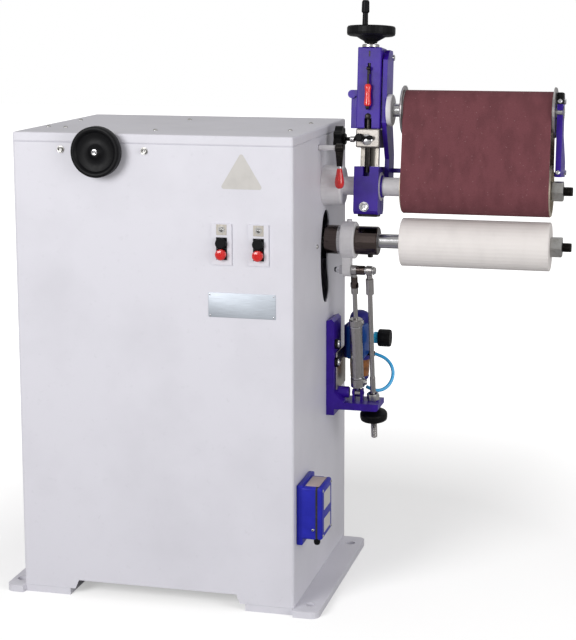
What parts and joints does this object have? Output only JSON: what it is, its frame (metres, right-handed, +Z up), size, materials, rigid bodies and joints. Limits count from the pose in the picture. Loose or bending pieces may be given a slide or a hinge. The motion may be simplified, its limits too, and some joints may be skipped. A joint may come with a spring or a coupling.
{
  "type": "belt drum sander",
  "caption": "Cabinet-mounted sander: an endless abrasive belt on an overhanging drum and idler above a swinging feed roller, with pneumatic lift and handwheel tension.",
  "frame": {"origin": "centre of the whole machine's bounding box, on the floor under the base rails", "axes": "+Z up, +Y from the cabinet's front to its back, +X towards the free end of the drum"},
  "size_m": [1.1914, 0.529, 1.2874],
  "materials": {
    "pale_grey_paint": "smooth pale grey enamel",
    "purple_paint": "glossy violet-blue enamel",
    "blue_plastic": "dark blue moulded plastic",
    "bright_blue_plastic": "bright blue plastic and hose",
    "black_plastic": "black moulded plastic",
    "red_plastic": "glossy red plastic",
    "bright_steel": "bright turned steel",
    "drum_aluminium": "turned aluminium",
    "blackened_steel": "blackened steel",
    "cast_iron": "grey cast iron",
    "abrasive_cloth": "brown abrasive cloth",
    "white_rubber": "white rubber sleeve",
    "black_rubber": "black V-belt rubber",
    "amber_plastic": "clear amber bowl"
  },
  "bodies": {
    "cabinet": {"cabinet_body": "pale_grey_paint", "top_cover": "pale_grey_paint", "back_panel": "pale_grey_paint", "base_rail_left": "pale_grey_paint", "base_rail_right": "pale_grey_paint", "motor_shelf": "pale_grey_paint", "switch_plate_left": "pale_grey_paint", "switch_plate_right": "pale_grey_paint", "control_box": "blue_plastic", "cable_gland": "black_plastic", "drive_motor": "cast_iron", "drive_belt": "black_rubber", "spindle_housing": "pale_grey_paint", "inner_bearing": "bright_steel", "outer_bearing": "bright_steel", "pivot_shaft": "bright_steel", "side_bracket": "purple_paint", "air_regulator": "bright_blue_plastic", "filter_bowl": "amber_plastic", "air_hose": "bright_blue_plastic"},
    "spindle": {"drive_shaft": "bright_steel", "spindle_pulley": "cast_iron", "contact_drum": "drum_aluminium", "drum_nut": "bright_steel"},
    "motor_pulley": {"motor_pulley": "cast_iron"},
    "head": {"head_clamp": "purple_paint", "guide_plate": "bright_steel", "sanding_belt": "abrasive_cloth"},
    "carriage": {"slide_block": "cast_iron", "column": "purple_paint", "inner_arm": "purple_paint", "cross_bar": "purple_paint", "outer_arm": "purple_paint", "idler_shaft": "bright_steel"},
    "idler": {"idler_roller": "drum_aluminium"},
    "handwheel": {"handwheel": "black_plastic", "tension_screw": "blackened_steel"},
    "crank_grip": {"crank_grip": "black_plastic"},
    "release_lever": {"release_lever": "red_plastic"},
    "lock_handle": {"lock_handle": "black_plastic"},
    "star_knob": {"star_knob": "black_plastic"},
    "swing_lever": {"swing_lever": "red_plastic"},
    "feed_arm": {"feed_arm": "cast_iron", "feed_motor": "drum_aluminium", "hanger_housing": "pale_grey_paint", "link_pin": "bright_steel"},
    "feed_roller": {"feed_shaft": "bright_steel", "outer_collar": "blackened_steel", "feed_roller": "white_rubber", "feed_nut": "bright_steel"},
    "cylinder_body": {"cylinder_body": "bright_steel"},
    "cylinder_rod": {"cylinder_rod": "bright_steel"},
    "stop_rod": {"stop_rod": "bright_steel"},
    "stop_knob": {"stop_knob": "black_plastic"},
    "valve_knob": {"valve_knob": "black_plastic"},
    "speed_dial": {"speed_dial": "black_plastic"},
    "start_button_left": {"start_button_left": "black_plastic"},
    "start_button_right": {"start_button_right": "black_plastic"},
    "stop_button_left": {"stop_button_left": "red_plastic"},
    "stop_button_right": {"stop_button_right": "red_plastic"}
  },
  "joints": [
    {"name": "spindle_spin", "type": "hinge", "parent": "cabinet", "child": "spindle", "pos_m": [0.39175, 0.0525, 0.885], "axis": [1, 0, 0], "continuous": true},
    {"name": "motor_spin", "type": "hinge", "parent": "cabinet", "child": "motor_pulley", "pos_m": [-0.14975, 0.0175, 0.24], "axis": [1, 0, 0], "continuous": true},
    {"name": "head_swing", "type": "hinge", "parent": "cabinet", "child": "head", "pos_m": [0.15525, 0.0525, 0.885], "axis": [1, 0, 0], "range_deg": [-10, 12]},
    {"name": "carriage_slide", "type": "slide", "parent": "head", "child": "carriage", "axis": [0, 0.1045, 0.9945], "range_m": [-0.006, 0.0001], "deforming": ["sanding_belt"]},
    {"name": "handwheel_turn", "type": "hinge", "parent": "carriage", "child": "handwheel", "pos_m": [0.15525, 0.06705, 1.20523], "axis": [0, 0.1045, 0.9945], "range_deg": [-721, 13]},
    {"name": "crank_grip_spin", "type": "hinge", "parent": "handwheel", "child": "crank_grip", "pos_m": [0.1506, 0.02722, 1.24964], "axis": [0, 0.1045, 0.9945], "continuous": true},
    {"name": "release_turn", "type": "hinge", "parent": "carriage", "child": "release_lever", "pos_m": [0.15525, 0.04026, 1.14169], "axis": [1, 0, 0], "range_deg": [-90, 0]},
    {"name": "lock_turn", "type": "hinge", "parent": "carriage", "child": "lock_handle", "pos_m": [0.13925, 0.0237, 0.99361], "axis": [0, 0.9945, -0.1045], "range_deg": [-90, 30]},
    {"name": "star_knob_turn", "type": "hinge", "parent": "carriage", "child": "star_knob", "pos_m": [0.09025, 0.08305, 0.98435], "axis": [1, 0, 0], "range_deg": [0, 360]},
    {"name": "swing_lever_turn", "type": "hinge", "parent": "cabinet", "child": "swing_lever", "pos_m": [0.10225, -0.0055, 0.973], "axis": [1, 0, 0], "range_deg": [-60, 0]},
    {"name": "idler_spin", "type": "hinge", "parent": "carriage", "child": "idler", "pos_m": [0.39175, 0.06985, 1.05009], "axis": [1, 0, 0], "continuous": true},
    {"name": "feed_arm_swing", "type": "hinge", "parent": "cabinet", "child": "feed_arm", "pos_m": [0.03525, 0.1975, 0.727], "axis": [1, 0, 0], "range_deg": [0, 12], "stiffness_Nm_per_rad": 70, "springref_deg": -34.38},
    {"name": "feed_roller_spin", "type": "hinge", "parent": "feed_arm", "child": "feed_roller", "pos_m": [0.39175, 0.0525, 0.765], "axis": [1, 0, 0], "continuous": true},
    {"name": "cylinder_tilt", "type": "hinge", "parent": "cabinet", "child": "cylinder_body", "pos_m": [0.12275, 0.1025, 0.408], "axis": [1, 0, 0], "range_deg": [-3, 1]},
    {"name": "cylinder_stroke", "type": "slide", "parent": "cylinder_body", "child": "cylinder_rod", "axis": [0, -0.1699, 0.9855], "range_m": [-0.045, 0.002]},
    {"name": "stop_rod_tilt", "type": "hinge", "parent": "feed_arm", "child": "stop_rod", "pos_m": [0.15725, 0.0525, 0.698], "axis": [1, 0, 0], "range_deg": [-15, 1]},
    {"name": "stop_knob_turn", "type": "hinge", "parent": "stop_rod", "child": "stop_knob", "pos_m": [0.15725, 0.0525, 0.698], "axis": [0, -0.1699, 0.9855], "range_deg": [0, 360]},
    {"name": "valve_turn", "type": "hinge", "parent": "cabinet", "child": "valve_knob", "pos_m": [0.17025, 0.1695, 0.523], "axis": [1, 0, 0], "range_deg": [-135, 135]},
    {"name": "speed_dial_turn", "type": "hinge", "parent": "cabinet", "child": "speed_dial", "pos_m": [-0.35975, -0.2325, 0.978], "axis": [0, 1, 0], "range_deg": [-135, 135]},
    {"name": "start_press_left", "type": "slide", "parent": "cabinet", "child": "start_button_left", "axis": [0, 1, 0], "range_m": [0, 0.003], "stiffness_N_per_m": 400},
    {"name": "start_press_right", "type": "slide", "parent": "cabinet", "child": "start_button_right", "axis": [0, 1, 0], "range_m": [0, 0.003], "stiffness_N_per_m": 400},
    {"name": "stop_press_left", "type": "slide", "parent": "cabinet", "child": "stop_button_left", "axis": [0, 1, 0], "range_m": [0, 0.003], "stiffness_N_per_m": 400},
    {"name": "stop_press_right", "type": "slide", "parent": "cabinet", "child": "stop_button_right", "axis": [0, 1, 0], "range_m": [0, 0.003], "stiffness_N_per_m": 400}
  ],
  "couplings": [
    {"joint": "motor_spin", "follows": "spindle_spin", "ratio": 1.2222},
    {"joint": "idler_spin", "follows": "spindle_spin", "ratio": 1.262},
    {"joint": "handwheel_turn", "follows": "carriage_slide", "rad_per_m": 2094.4},
    {"joint": "cylinder_tilt", "follows": "feed_arm_swing", "ratio": -0.063},
    {"joint": "cylinder_stroke", "follows": "feed_arm_swing", "m_per_rad": -0.1465},
    {"joint": "stop_rod_tilt", "follows": "feed_arm_swing", "ratio": -1.063}
  ]
}
